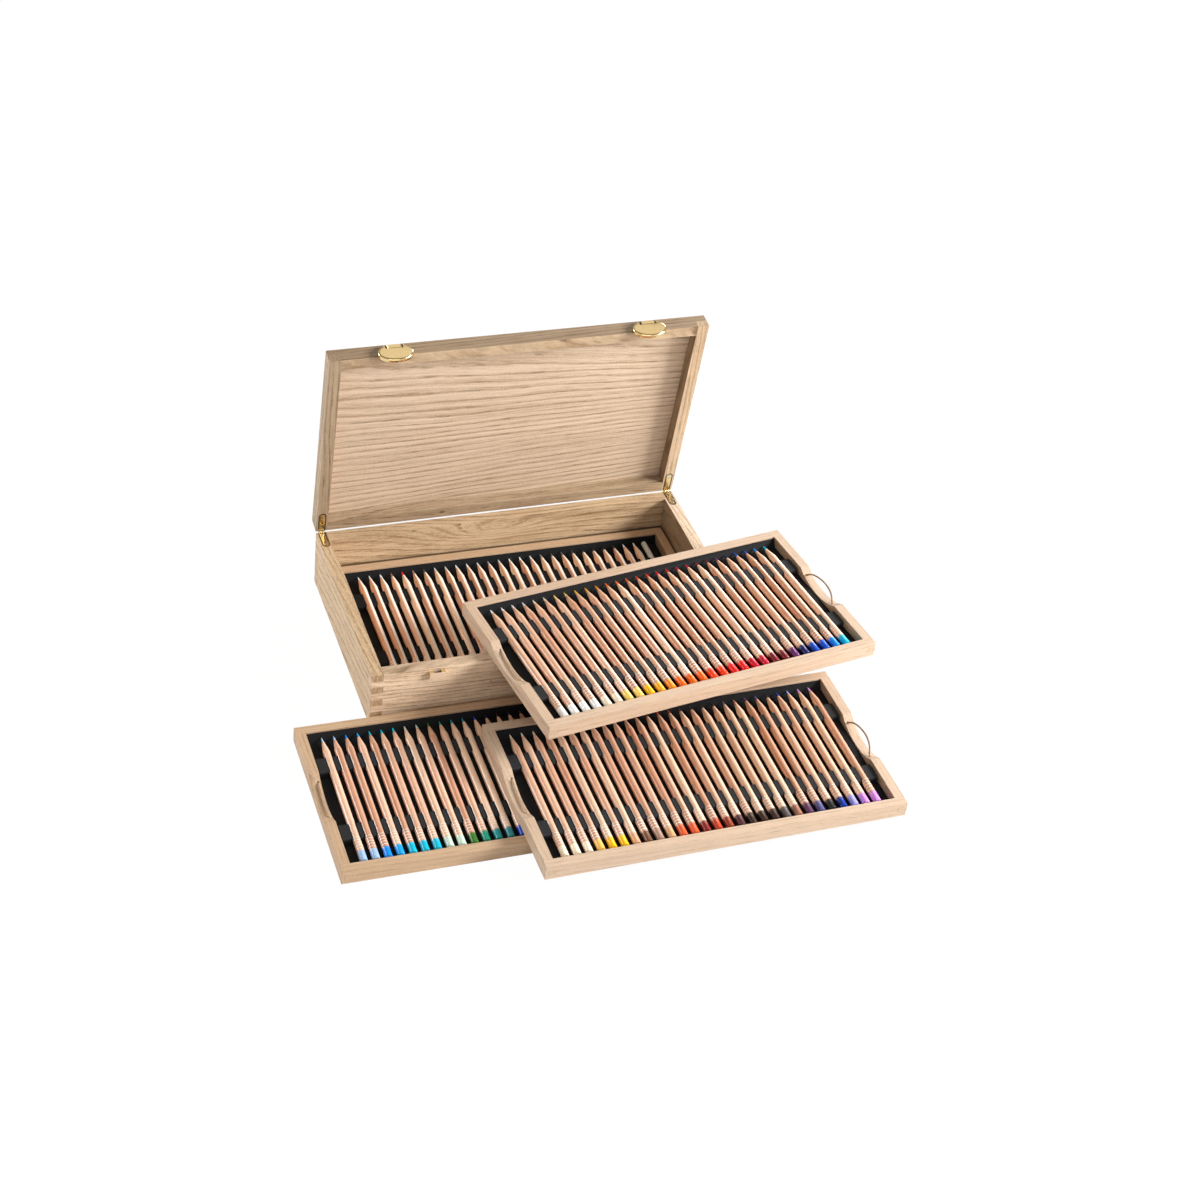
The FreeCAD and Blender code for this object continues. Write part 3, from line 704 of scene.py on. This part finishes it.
def cedar(tray):
    """Lacquered cedar, a little different from pencil to pencil, with thin plain rings and a
    painted highlight.
    """
    pencils = box().pencils
    graph = Graph(f"cedar_{tray}")
    x, y, z = graph.split(piece_frame(tray).point(graph))
    index = pencil_place(x).floor() + TRAY_RUN * int(tray[-1])
    pick = graph.random(index)
    pick_2 = graph.random(index + 0.37)

    def grain(a, b, detail, roughness=0.5):
        vector = graph.join((x + pick * 0.7) * a, (y + pick_2 * 0.9) * b, z * a)
        return graph.noise(vector, detail=detail, roughness=roughness) - 0.5

    lines = grain(700.0, 9.0, 3.0, 0.55)
    bands = grain(170.0, 4.0, 1.0)
    specks = grain(1900.0, 130.0, 1.0)
    tone = 0.22 + pick * 0.52 + lines * 0.85 + bands * 0.65
    wood = graph.mix(tone.step(0.0, 1.0), pencils.cedar_dark, pencils.cedar_light)
    pale = tuple(min(1.0, 1.16 * c + 0.03) for c in pencils.cedar_light)
    wood = graph.mix((pick_2 - 0.70).step(0.0, 0.15) * 0.55, wood, pale)
    spots = specks.step(0.10, 0.22) * 0.40
    wood = graph.mix(spots, wood, scaled(pencils.cedar_dark, 0.55))
    cone = y.step(pencils.shoulder - 0.0003, pencils.shoulder + 0.0003)
    wood = graph.mix(cone * 0.25, wood, pale)

    # A painted highlight: the right side of each barrel is mixed towards the pale sheen colour
    middle = pencil_place(x).fraction()
    sheen = middle.step(0.50, 0.66) * pencils.sheen
    # Tray 4's barrels are made lighter and their right halves nearly white: painted light, as that
    # tray lies in the shade of the case and tray 1
    if tray == "tray_4":
        wood = graph.mix(1.0, wood, (1.12, 1.05, 1.0), "MULTIPLY")
        sheen = middle.step(0.46, 0.54)
    wood = graph.mix(sheen, wood, pencils.sheen_paint)

    butt = pencils.butt
    rings = y.band(butt + pencils.ring_first, butt + pencils.ring_last + 0.0005, 0.0001)
    phase = ((y - (butt + pencils.ring_first)) / pencils.ring_pitch).fraction()
    worn = lines.step(-0.22, 0.0)
    rings = rings * (1.0 - phase.step(0.18, 0.30)) * worn
    painted = graph.mix(rings, wood, pencils.ring_paint)
    dipped = 1.0 - y.band(butt + pencils.dip, pencils.point, 0.0001)
    painted = graph.mix(dipped, painted, row_colour(graph, tray, x))
    return graph.coated({
        "Base Color": painted,
        "Roughness": 0.34 + cone * 0.30 + lines * 0.10,
        "Coat Weight": 0.6 - cone * 0.5,
        "Coat Roughness": 0.26,
        "Normal": graph.bump(lines - specks * 0.6, 0.00005),
    })


def paint(tray):
    graph = Graph(f"paint_{tray}")
    point = piece_frame(tray).point(graph)
    mottle = graph.noise(point, scale=900.0)
    x = graph.split(point)[0]
    return graph.coated({
        "Base Color": row_shade(graph, tray, x, 0.90 + mottle * 0.2),
        "Roughness": 0.28 + mottle * 0.12,
        "Specular IOR Level": 0.2,
        "Coat Weight": 0.25,
        "Coat Roughness": 0.08,
        "Normal": graph.bump(mottle, 0.00003),
    })


def lead(tray):
    graph = Graph(f"lead_{tray}")
    x, y, z = graph.split(piece_frame(tray).point(graph))
    scuff = graph.noise(graph.join(x * 2.0, y * 0.6, z * 2.0), scale=1600.0)
    return graph.coated({
        "Base Color": row_shade(graph, tray, x, 1.15 + scuff * 0.40),
        "Roughness": 0.45 + scuff * 0.2,
        "Normal": graph.bump(scuff, 0.00006),
    })


def stick():
    graph = Graph("blending_stick")
    x, y, z = graph.split(piece_frame("tray_4").point(graph))
    mottle = graph.noise(graph.join(x, y * 0.2, z), scale=700.0, detail=3.0)
    return graph.coated({
        "Base Color": graph.mix(mottle, (0.62, 0.62, 0.60), (0.86, 0.86, 0.84)),
        "Roughness": 0.5 + mottle * 0.2,
        "Normal": graph.bump(mottle, 0.00005),
    })


class BOX_OT_pencils(bpy.types.Operator):
    """Colour the cedar barrels, dipped ends and points of the pencils"""

    bl_idname = "box.pencils"
    bl_label = "Pencils"

    def execute(self, context):
        for tray in ROWS:
            set_material(f"{tray}_pencil_barrels", cedar(tray))
            set_material(f"{tray}_pencil_caps", paint(tray))
            set_material(f"{tray}_pencil_leads", lead(tray))
            ease_edges(f"{tray}_pencil_caps", CAP_EDGE, 3)
        set_material("tray_4_blending_stick", stick())
        ease_edges("tray_4_blending_stick", STICK_EDGE, 3)
        return {"FINISHED"}


# Inserts

# From where to where, between the two rows of pads, the nearer row changes, and how far
# below its top a pad starts to turn grey
BETWEEN_ROWS = (0.09, 0.11)
PAD_FADE = 0.0022


def moulded(tray):
    """Black plastic, greyer on the tops of the pads; in tray 4 they stay black, as painted shade.
    """
    insert = box().insert
    pencils = box().pencils
    graph = Graph(f"insert_{tray}")
    point = piece_frame(tray).point(graph)
    x, y, z = graph.split(point)
    texture = graph.noise(point, scale=2600.0)
    dust = graph.noise(graph.join(x * 3.0, y, z), scale=60.0, detail=3.0)
    top = z.step(insert.pad_top - PAD_FADE, insert.pad_top)
    gap = (x - pencils.first) / pencils.pitch
    last = pencils.count - 1.5
    in_row = gap.floor().step(-0.6, -0.4) * (1.0 - gap.floor().step(last - 0.1, last + 0.1))
    across = (gap.fraction() - 0.5) * in_row * (pencils.pitch / insert.pad_half_width)
    row_middle = insert.front_row + y.step(*BETWEEN_ROWS) * (insert.back_row - insert.front_row)
    lengthwise = (y - row_middle) / insert.pad_half_length
    rounded = 1.0 - (across ** 4.0 + lengthwise ** 4.0).step(0.75, 1.05)
    top = top * rounded
    # Tray 4's pads get no grey: painted shade, as that tray lies in the case's shade
    worn = (top * 0.8 + dust * 0.2) * (0.0 if tray == "tray_4" else 1.0)
    return graph.coated({
        "Base Color": graph.mix(worn, insert.black, insert.grey),
        "Roughness": 0.66 + texture * 0.12 + dust * 0.08,
        "Specular IOR Level": 0.18,
        "Normal": graph.bump(texture, 0.00006),
    })


class BOX_OT_inserts(bpy.types.Operator):
    """Make the inserts matte black with rounded pads"""

    bl_idname = "box.inserts"
    bl_label = "Inserts"

    def execute(self, context):
        for tray in ROWS:
            set_material(f"{tray}_insert", moulded(tray))
            ease_edges(f"{tray}_insert", box().insert.edge_radius, 2, 50.0)
        return {"FINISHED"}


# Brass

# Middle of a latch in millimetres, and in metres the edges of the notch in a strike, the
# rows of hinge screws and the edges of their heads and slots
LATCH_X = 137.0
NOTCH_SIDE = (0.0036, 0.0040)
NOTCH_FRONT = (0.1236, 0.1240)
SCREW_ROWS = (0.116, 0.100)
HEAD_EDGE = (0.00170, 0.00200)
SLOT_EDGE = (0.00028, 0.00034)


def struck(graph, x, y, base):
    """A strike's brushed face and dark notch: its colour and how much it is metal."""
    nx, ny, nz = graph.split(graph.node("NewGeometry", None, None, "Normal"))
    brushed = (-ny).step(0.80, 0.92)
    base = graph.mix(brushed, base, (0.90, 0.68, 0.50))
    notch = 1.0 - abs(abs(x) - LATCH_X / 1000.0).step(*NOTCH_SIDE)
    notch = notch * (1.0 - (-y).step(*NOTCH_FRONT)).most(nz.step(0.5, 0.7))
    base = graph.mix(notch, base, (0.06, 0.03, 0.012))
    return base, (1.0 - brushed * 0.85) * (1.0 - notch * 0.7)


def brass(name, pale, rough):
    """Brass with clouds, fine scratches and pits; pale is mixed into its colour."""
    metal = box().metal
    graph = Graph(name)
    point = graph.place()
    x, y, z = graph.split(point)
    cloud = graph.noise(point, scale=90.0, detail=3.0)
    scratches = graph.noise(graph.join(x * 900.0, y * 60.0, z * 60.0))
    pits = graph.noise(point, scale=1500.0)
    tone = cloud * 0.6 + scratches * 0.3 + 0.1
    base, share = graph.mix(tone + pale, metal.brass_deep, metal.brass), 1.0
    if name == "brass_strike":
        base, share = struck(graph, x, y, base)
    return graph.coated({
        "Base Color": base,
        "Metallic": share,
        "Roughness": rough - 0.05 + cloud * 0.10 + scratches * 0.04,
        "Normal": graph.bump(pits * 0.6 + scratches * 0.4, 0.00002),
    })


def slotted(node):
    """Pale screw heads, with a dark slot and a dark line round each."""
    graph = Graph(f"brass_{node}")
    point = piece_frame(node).point(graph)
    x, y, z = graph.split(point)
    mottle = graph.noise(point, scale=900.0)
    across = abs(abs(x) - HINGE_X)
    along = abs(y - SCREW_ROWS[0]).least(abs(y - SCREW_ROWS[1]))
    rim = (across ** 2.0 + along ** 2.0).root().step(*HEAD_EDGE)
    shade = rim.most(1.0 - across.step(*SLOT_EDGE))
    return graph.coated({
        "Base Color": graph.mix(shade * 0.97, (0.92, 0.82, 0.62), (0.02, 0.012, 0.006)),
        "Metallic": 1.0 - shade * 0.8,
        "Roughness": 0.16 + mottle * 0.10 + shade * 0.4,
        "Normal": graph.bump(mottle, 0.00001),
    })


def slot_shadow():
    """Painted shadow: a near-black for the slots in a lever."""
    graph = Graph("brass_slots")
    mottle = graph.noise(graph.place(), scale=1500.0)
    return graph.coated({
        "Base Color": graph.mix(mottle, (0.010, 0.007, 0.004), (0.035, 0.022, 0.010)),
        "Roughness": 0.6 + mottle * 0.2,
    })


# The levers, in millimetres on the shut lid: half width, drop and flat top of the half
# oval, then the rings of its back and side as inset, distance out and distance out below
LEVER_SIZE = (18.5, 12.0, 10.5)
LEVER_RINGS = ((1.1, 4.5, 4.5), (1.1, 3.2, 1.2), (0.0, 3.2, 1.2), (0.0, 3.4, 3.4))
LEVER_POINTS = 96
BEND_FROM = 3.0
BEND_OVER = 2.0
EDGE_OUT = 3.4
EDGE_RADIUS = 2.2
EDGE_STEPS = 6
BARREL_POINTS = 20
BARREL_RADIUS = 2.1
BARREL_HALF = 9.2
BARREL_FLAT = 0.9
CASE_FRONT = -120.5
CASE_RIM = 65.0
PIN_OUT = 3.2
PIN_ABOVE = 8.6

# The raised tab and the slot beside it: from and to across, above and out, and the lean
TAB = ((-7.2, 7.2), (5.4, 10.4), (5.5, 6.05), 0.45)
SLOT = ((7.3, 9.3), (5.2, 9.6), (5.5, 5.63), 0.0)


def shut_to_open(point):
    """Turns a point of the shut lid, in millimetres, to where the open lid has it."""
    places = box().places
    axis = Vector(places.hinge_axis)
    turn = Quaternion((1, 0, 0), -places.lid_angle)
    return axis + turn @ (Vector(point) / 1000.0 - axis)


def turns(count):
    return [2 * math.pi * i / count for i in range(count)]


class LeverMesh:
    """The points and faces of a pressed lever, placed across, above and out."""

    def __init__(self, middle):
        self.middle = middle
        self.points = []
        self.faces = []
        self.dark = []

    def add_point(self, across, above, out):
        self.points.append((self.middle + across, CASE_FRONT - out, CASE_RIM + above))

    def ring(self, inset, out, low_out):
        """The outline drawn in by inset; it bends back to low_out towards its bottom."""
        start = len(self.points)
        wide, high, flat = [size - inset for size in LEVER_SIZE]
        for turn in turns(LEVER_POINTS):
            across, above = wide * math.cos(turn), min(flat, high * math.sin(turn))
            upper = min(1.0, max(0.0, (above - BEND_FROM) / BEND_OVER))
            self.add_point(across, above, low_out + (out - low_out) * upper)
        return start

    def bridge(self, first, second, count):
        for i in range(count):
            j = (i + 1) % count
            self.faces.append((first + i, first + j, second + j, second + i))

    def cap(self, start, count, backwards=False):
        loop = [start + i for i in range(count)]
        self.faces.append(tuple(reversed(loop)) if backwards else tuple(loop))

    def shell(self):
        rims = [self.ring(*ring) for ring in LEVER_RINGS]
        for step in range(1, EDGE_STEPS + 1):
            turn = math.pi / 2 * step / EDGE_STEPS
            out = EDGE_OUT + EDGE_RADIUS * math.sin(turn)
            rims.append(self.ring(EDGE_RADIUS * (1 - math.cos(turn)), out, out))
        for first, second in zip(rims, rims[1:]):
            self.bridge(first, second, LEVER_POINTS)
        self.cap(rims[0], LEVER_POINTS, True)
        self.cap(rims[-1], LEVER_POINTS)

    def plate(self, across, above, out, slope):
        """A low block on the face, whose sides lean in."""
        start = len(self.points)
        for far, lean in zip(out, (0.0, slope)):
            left, right = across[0] + lean, across[1] - lean
            low, high = above[0] + lean, above[1]
            for u, w in ((left, low), (right, low), (right, high), (left, high)):
                self.add_point(u, w, far)
        loops = ((4, 5, 6, 7), (0, 1, 5, 4), (1, 2, 6, 5), (2, 3, 7, 6), (3, 0, 4, 7))
        self.faces.extend(tuple(start + i for i in loop) for loop in loops)

    def slot(self, side):
        """A slot beside the tab: a thin plate in painted shadow."""
        first = len(self.faces)
        across, *rest = SLOT
        self.plate(sorted(side * u for u in across), *rest)
        self.dark.extend(range(first, len(self.faces)))

    def barrel(self):
        """The rolled barrel round the pin."""
        start = len(self.points)
        for across in (-BARREL_HALF, BARREL_HALF):
            for turn in turns(BARREL_POINTS):
                above = PIN_ABOVE + BARREL_RADIUS * math.cos(turn) * BARREL_FLAT
                self.add_point(across, above, PIN_OUT + BARREL_RADIUS * math.sin(turn))
        self.bridge(start, start + BARREL_POINTS, BARREL_POINTS)
        self.cap(start, BARREL_POINTS, True)
        self.cap(start + BARREL_POINTS, BARREL_POINTS)


def pressed_lever(name, middle, materials):
    """A cupped lever: a flat face, a rounded rim, a hollow back, a tab and its barrel."""
    lever = LeverMesh(middle)
    lever.shell()
    lever.plate(*TAB)
    lever.slot(-1)
    lever.slot(1)
    lever.barrel()

    mesh = bpy.data.meshes.new(name)
    mesh.from_pydata([shut_to_open(point) for point in lever.points], [], lever.faces)
    for material in materials:
        mesh.materials.append(material)
    # The slots' faces take the painted shadow
    for i in lever.dark:
        mesh.polygons[i].material_index = 1
    mesh.shade_smooth()
    mesh.set_sharp_from_angle(angle=math.radians(40))
    return add_object(name, mesh)


class BOX_OT_brass(bpy.types.Operator):
    """Polish the hinges, latches, strikes and screws"""

    bl_idname = "box.brass"
    bl_label = "Brass Fittings"

    def execute(self, context):
        material = brass("brass", pale=0.0, rough=box().metal.roughness)
        strike = brass("brass_strike", pale=0.3, rough=0.42)
        shadow = slot_shadow()
        edge = box().metal.edge_radius
        for side, middle in (("left", -LATCH_X), ("right", LATCH_X)):
            hinge, latch = f"hinge_{side}", f"latch_{side}"
            set_material(f"{hinge}_pin", material)
            set_material(f"{latch}_pin", material)
            for node in (f"{hinge}_case_leaf", f"{hinge}_lid_leaf", f"{latch}_base"):
                set_material(node, material)
                ease_edges(node, edge / 2)
            set_material(f"strike_{side}", strike)
            ease_edges(f"strike_{side}", edge, 3)
            lever = pressed_lever(f"{latch}_pressed_lever", middle, (material, shadow))
            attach(lever, latch)
            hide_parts(f"{latch}_lever")
        for node in ("case_hinge_screws", "lid_hinge_screws"):
            set_material(node, slotted(node))
        return {"FINISHED"}


# Cord pulls

# Routes of the pulls in a tray's own axes; a lying one keeps to one distance from the side
TRAY_LENGTH = 0.380
PULL_X = 0.0074
RAISED = ("tray_1", "tray_3")
FRESH = 0.55
WORN = 0.0
LYING = (
    (0.06960, 0.00492), (0.07738, 0.01269), (0.09001, 0.00949), (0.10300, 0.00841),
    (0.11599, 0.00949), (0.12862, 0.01269), (0.13640, 0.00492),
)
STANDING = (
    (0.37211, 0.07132, 0.00505), (0.37390, 0.07850, 0.01510), (0.37800, 0.08800, 0.01780),
    (0.38000, 0.10300, 0.01850), (0.37800, 0.11800, 0.01780), (0.37390, 0.12750, 0.01510),
    (0.37211, 0.13468, 0.00505),
)


def twisted(tray, fresh):
    """Waxed twine with painted shade between its strands; fresh mixes in the paler colour of
    unraised pulls.
    """
    cords = box().cord
    graph = Graph(f"cord_{tray}_{'fresh' if fresh else 'worn'}")
    point = piece_frame(tray).point(graph)
    x, y, z = graph.split(point)
    lay = (y + z * 0.8 + x * 0.6) * (2 * math.pi / cords.strand_pitch * 2.0)
    strand = lay.sine() * 0.5 + 0.5
    fibre = graph.noise(point, scale=5200.0)
    wax = graph.noise(point, scale=240.0)
    tone = strand * 0.55 + fibre * 0.30 + wax * 0.25 - 0.05
    # Darker in the hollows between the strands: painted shade
    twine = graph.mix(tone.step(0.0, 1.0), cords.brown, cords.tan)
    return graph.coated({
        "Base Color": graph.mix(fresh + wax * 0.2, twine, cords.pale),
        "Roughness": 0.48 + fibre * 0.2,
        "Coat Weight": 0.15,
        "Coat Roughness": 0.35,
        "Normal": graph.bump(strand + fibre * 0.4, 0.00015),
    })


def add_cord(tray, side, route, material):
    """A pull: one smooth spline that goes into the rail at both ends."""
    name = f"{tray}_{side}_pull"
    places = box().places
    radius = box().cord.radius
    corner = Vector(getattr(places, tray))
    turn = Quaternion((0, 0, 1), getattr(places, tray + "_turn"))
    points = [corner + turn @ Vector(p) for p in route]
    curve = bpy.data.curves.new(name, "CURVE")
    curve.dimensions = "3D"
    curve.bevel_depth = radius
    curve.bevel_resolution = 4
    curve.resolution_u = 8
    spline = curve.splines.new("NURBS")
    spline.points.add(len(points) - 1)
    for point, co in zip(spline.points, points):
        point.co = (*co, 1.0)
    spline.order_u = 3
    spline.use_endpoint_u = True
    curve.materials.append(material)
    piece = add_object(name, curve)
    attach(piece, tray)
    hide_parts(f"{tray}_cord_pulls")


class BOX_OT_cords(bpy.types.Operator):
    """Thread a cord pull into each finger scoop"""

    bl_idname = "box.cords"
    bl_label = "Cord Pulls"

    def execute(self, context):
        left = [(PULL_X, y, z) for y, z in LYING]
        opposite = [(TRAY_LENGTH - PULL_X, y, z) for y, z in LYING]
        cords = box().cord
        for tray in ROWS:
            fresh = twisted(tray, FRESH)
            right, run, twine = opposite, cords.lying_run, fresh
            if tray in RAISED:
                right, run, twine = STANDING, cords.standing_run, twisted(tray, WORN)
            add_cord(tray, "left", left, fresh)
            add_cord(tray, "right", right, twine)
        return {"FINISHED"}


# Studio

WHITE = (1.0, 1.0, 1.0)
WARM = (1.0, 0.985, 0.96)
MIDDLE = (0.0, -0.1, 0.1)
LID_EDGE = (0.0, 0.12, 0.31)

# The floor lies a little below the feet, so that they share no plane
FLOOR_DROP = 0.0004

# Each softbox: its name, where it stands, what it faces, its size and its tint
SOFTBOXES = (
    ("key", (2.25, -1.05, 1.32), MIDDLE, (1.1, 0.85), WARM),
    ("front", (-0.2, -2.0, 0.9), MIDDLE, (1.6, 0.8), WHITE),
    ("fill", (-1.5, 0.95, 0.35), MIDDLE, (1.0, 0.6), WHITE),
    ("strip", (1.35, 1.5, 0.80), MIDDLE, (0.5, 0.8), WHITE),
    ("sheet", (0.5, 1.06, 1.77), LID_EDGE, (1.3, 1.0), WHITE),
)


def add_softbox(name, location, target, size, power, tint):
    light = bpy.data.lights.new(name, "AREA")
    light.shape = "RECTANGLE"
    light.size, light.size_y = size
    light.energy = power
    light.color = tint
    piece = add_object(name, light)
    piece.location = location
    piece.rotation_euler = (Vector(target) - Vector(location)).to_track_quat("-Z", "Y").to_euler()


def floor_material():
    """White paper, nearly as bright as the surroundings where it is seen or mirrored."""
    graph = Graph("studio_floor")
    mottle = graph.noise(graph.place(), scale=3.0)
    paper = graph.mix(mottle, (0.78, 0.78, 0.78), (0.82, 0.82, 0.82))
    matte = graph.shader({"Base Color": paper, "Roughness": 0.9})
    glow = graph.node("Emission", None, {"Color": WHITE, "Strength": 1.02}, "Emission")
    seen = graph.ray("Camera") + graph.ray("Glossy") + graph.ray("Transmission")
    return graph.finish(graph.mix_shaders(seen.least(1.0) * 0.96, matte, glow))


def surroundings(studio):
    """Dim at the horizon and brighter overhead, with a white sweep behind the box."""
    graph = Graph("studio", bpy.data.worlds.new("studio"))
    direction = graph.node("TexCoord", None, None, "Generated")
    height = graph.split(direction)[2]
    low, high = studio.horizon_strength, studio.zenith_strength
    strength = low + height.step(-0.1, 1.0) * (high - low)
    sky = {"Color": studio.sky, "Strength": strength}
    glow = graph.node("Background", None, sky, "Background")
    paper = {"Color": WHITE, "Strength": 1.0}
    sweep = graph.node("Background", None, paper, "Background")
    mirrored = graph.ray("Glossy") * (1.0 - height.step(0.10, 0.35))
    seen = graph.ray("Camera") + graph.ray("Transmission") + mirrored
    return graph.finish(graph.mix_shaders(seen.least(1.0), glow, sweep))


class BOX_OT_studio(bpy.types.Operator):
    """Set the floor, the soft lights and the camera"""

    bl_idname = "box.studio"
    bl_label = "Studio"

    def execute(self, context):
        studio = box().studio
        scene = context.scene
        half = studio.floor_size / 2
        mesh = bpy.data.meshes.new("studio_floor")
        corners = [(-half, -half, 0), (half, -half, 0), (half, half, 0), (-half, half, 0)]
        mesh.from_pydata(corners, [], [(0, 1, 2, 3)])
        mesh.materials.append(floor_material())
        floor = add_object("studio_floor", mesh)
        floor.location.z = -FLOOR_DROP

        for name, location, target, size, tint in SOFTBOXES:
            power = getattr(studio, name + "_power")
            add_softbox(name + "_light", location, target, size, power, tint)
        scene.world = surroundings(studio)

        camera = bpy.data.cameras.new("camera")
        camera.lens = studio.lens
        camera.sensor_fit = "HORIZONTAL"
        camera.clip_end = 50.0
        piece = add_object("camera", camera)
        piece.location = studio.camera_place
        sight = Vector(studio.camera_target) - Vector(studio.camera_place)
        turn = sight.to_track_quat("-Z", "Y") @ Quaternion((0, 0, 1), studio.camera_roll)
        piece.rotation_euler = turn.to_euler()
        scene.camera = piece
        scene.view_settings.view_transform = "Standard"
        return {"FINISHED"}


class BOX_PT_panel(bpy.types.Panel):
    """Steps of the drawer box in the sidebar"""

    bl_label = "Drawer Box"
    bl_idname = "BOX_PT_panel"
    bl_space_type = "VIEW_3D"
    bl_region_type = "UI"
    bl_category = "Drawer Box"

    def draw(self, context):
        for step in STEPS:
            self.layout.operator(step.bl_idname)


STEPS = (BOX_OT_studio, BOX_OT_cords, BOX_OT_oak, BOX_OT_pencils, BOX_OT_inserts, BOX_OT_brass)
GROUPS = (
    BoxPlaces, OakSettings, PencilSettings, MetalSettings, InsertSettings, CordSettings,
    StudioSettings, BoxSettings,
)
CLASSES = GROUPS + STEPS + (BOX_PT_panel,)


def register():
    for item in CLASSES:
        bpy.utils.register_class(item)
    bpy.types.Scene.drawer_box = PointerProperty(type=BoxSettings)


def unregister():
    del bpy.types.Scene.drawer_box
    for item in reversed(CLASSES):
        bpy.utils.unregister_class(item)


def main():
    register()
    bpy.ops.box.studio()
    bpy.ops.box.cords()
    bpy.ops.box.oak()
    bpy.ops.box.pencils()
    bpy.ops.box.inserts()
    bpy.ops.box.brass()


if __name__ == "__main__":
    main()
